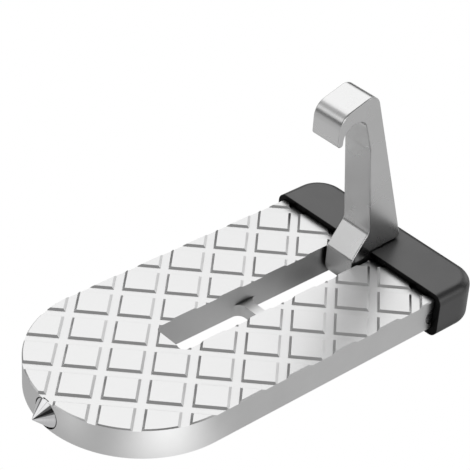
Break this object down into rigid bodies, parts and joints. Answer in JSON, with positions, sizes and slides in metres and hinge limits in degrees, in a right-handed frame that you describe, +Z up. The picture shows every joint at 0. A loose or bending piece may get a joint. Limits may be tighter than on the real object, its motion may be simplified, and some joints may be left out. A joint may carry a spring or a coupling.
{
  "type": "car door latch step",
  "caption": "Folding foot step for a car door latch: treaded foot plate with a central slot, pivoting hook arm, rubber boot at the rear and a small cone at the nose.",
  "frame": {"origin": "centre of the bounding box in plan, at the boot's underside", "axes": "+X towards the booted rear end, +Y across the plate, +Z up through the tread and along the erect hook"},
  "size_m": [0.159, 0.08, 0.0808],
  "materials": {
    "cast_aluminium": "satin anodised",
    "hook_aluminium": "satin anodised",
    "pin_steel": "plain",
    "black_rubber": "smooth moulded",
    "stud_steel": "polished"
  },
  "bodies": {
    "base": {"foot_plate": "cast_aluminium", "pivot_pin": "pin_steel", "rubber_boot": "black_rubber", "breaker_stud": "stud_steel"},
    "hook": {"latch_hook": "hook_aluminium"}
  },
  "joints": [
    {"name": "hook_fold", "type": "hinge", "parent": "base", "child": "hook", "pos_m": [0.05826, 0, 0.00815], "axis": [0, -1, 0], "range_deg": [0, 84.5]}
  ]
}
